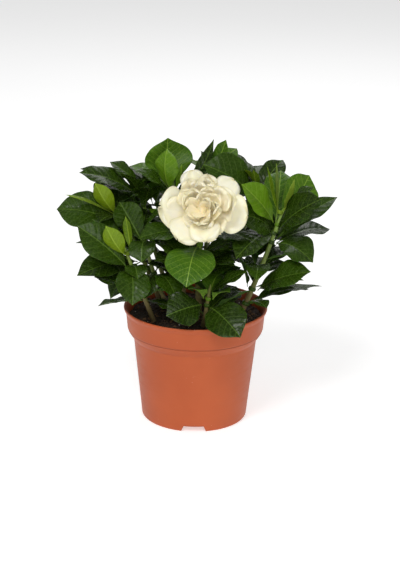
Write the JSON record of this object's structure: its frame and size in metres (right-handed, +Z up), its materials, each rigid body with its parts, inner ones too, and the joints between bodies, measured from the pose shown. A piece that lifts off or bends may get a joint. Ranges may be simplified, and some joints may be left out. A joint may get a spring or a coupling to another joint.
{
  "type": "potted gardenia",
  "caption": "Gardenia shrub in flower in a round plastic nursery pot: glossy leaf whorls on several stems, a double cream bloom, peat soil and a notched foot to stand on.",
  "frame": {"origin": "on the pot's axis at the level of the surface it stands on, which is also the bottom centre of the whole plant's box", "axes": "+Z up along the pot's axis, -Y towards the show side where the flower faces, +X to the right of a viewer in front"},
  "size_m": [0.2509, 0.1745, 0.252],
  "materials": {
    "pot_plastic": "moulded terracotta-coloured plastic, matte",
    "peat": "moist peat with bark crumbs",
    "stem": "green young bark, turning brown low down",
    "mature_leaf": "glossy, dark green, sunken veins",
    "new_leaf": "glossy, mid green, sunken veins",
    "young_leaf": "satin, yellow green",
    "petal": "waxy, cream white",
    "calyx": "satin green"
  },
  "bodies": {
    "root": {"calyx": "calyx", "leaves_back_left_low": "mature_leaf", "leaves_back_left_top": "new_leaf", "leaves_back_low": "mature_leaf", "leaves_back_right_low": "mature_leaf", "leaves_back_right_old": "mature_leaf", "leaves_back_right_young": "young_leaf", "leaves_back_top": "new_leaf", "leaves_centre_bright": "new_leaf", "leaves_centre_low": "mature_leaf", "leaves_centre_old": "mature_leaf", "leaves_far_left_low": "mature_leaf", "leaves_far_left_old": "mature_leaf", "leaves_far_left_young": "young_leaf", "leaves_flower_collar": "mature_leaf", "leaves_flower_low": "mature_leaf", "leaves_flower_whorl": "new_leaf", "leaves_front_near": "new_leaf", "leaves_front_old": "mature_leaf", "leaves_left_old": "mature_leaf", "leaves_left_young": "young_leaf", "leaves_mid_left_low": "mature_leaf", "leaves_mid_left_old": "mature_leaf", "leaves_right_bright": "new_leaf", "leaves_right_foot": "mature_leaf", "leaves_right_low": "mature_leaf", "leaves_right_mid": "mature_leaf", "leaves_right_old": "mature_leaf", "leaves_right_outer": "mature_leaf", "leaves_right_young": "young_leaf", "leaves_top_bright": "new_leaf", "leaves_top_low": "mature_leaf", "leaves_upper_left_near": "mature_leaf", "leaves_upper_left_old": "mature_leaf", "petal_heart_right": "petal", "petal_heart_top": "petal", "petal_inner_left": "petal", "petal_inner_low": "petal", "petal_inner_right": "petal", "petal_inner_top": "petal", "petal_outer_left": "petal", "petal_outer_lower_left": "petal", "petal_outer_lower_right": "petal", "petal_outer_right": "petal", "petal_outer_upper_left": "petal", "petal_outer_upper_right": "petal", "pot": "pot_plastic", "soil": "peat", "stem_back": "stem", "stem_back_left": "stem", "stem_back_right": "stem", "stem_centre": "stem", "stem_far_left": "stem", "stem_flower": "stem", "stem_front": "stem", "stem_left": "stem", "stem_mid_left": "stem", "stem_right": "stem", "stem_top": "stem", "stem_upper_left": "stem"}
  },
  "joints": []
}
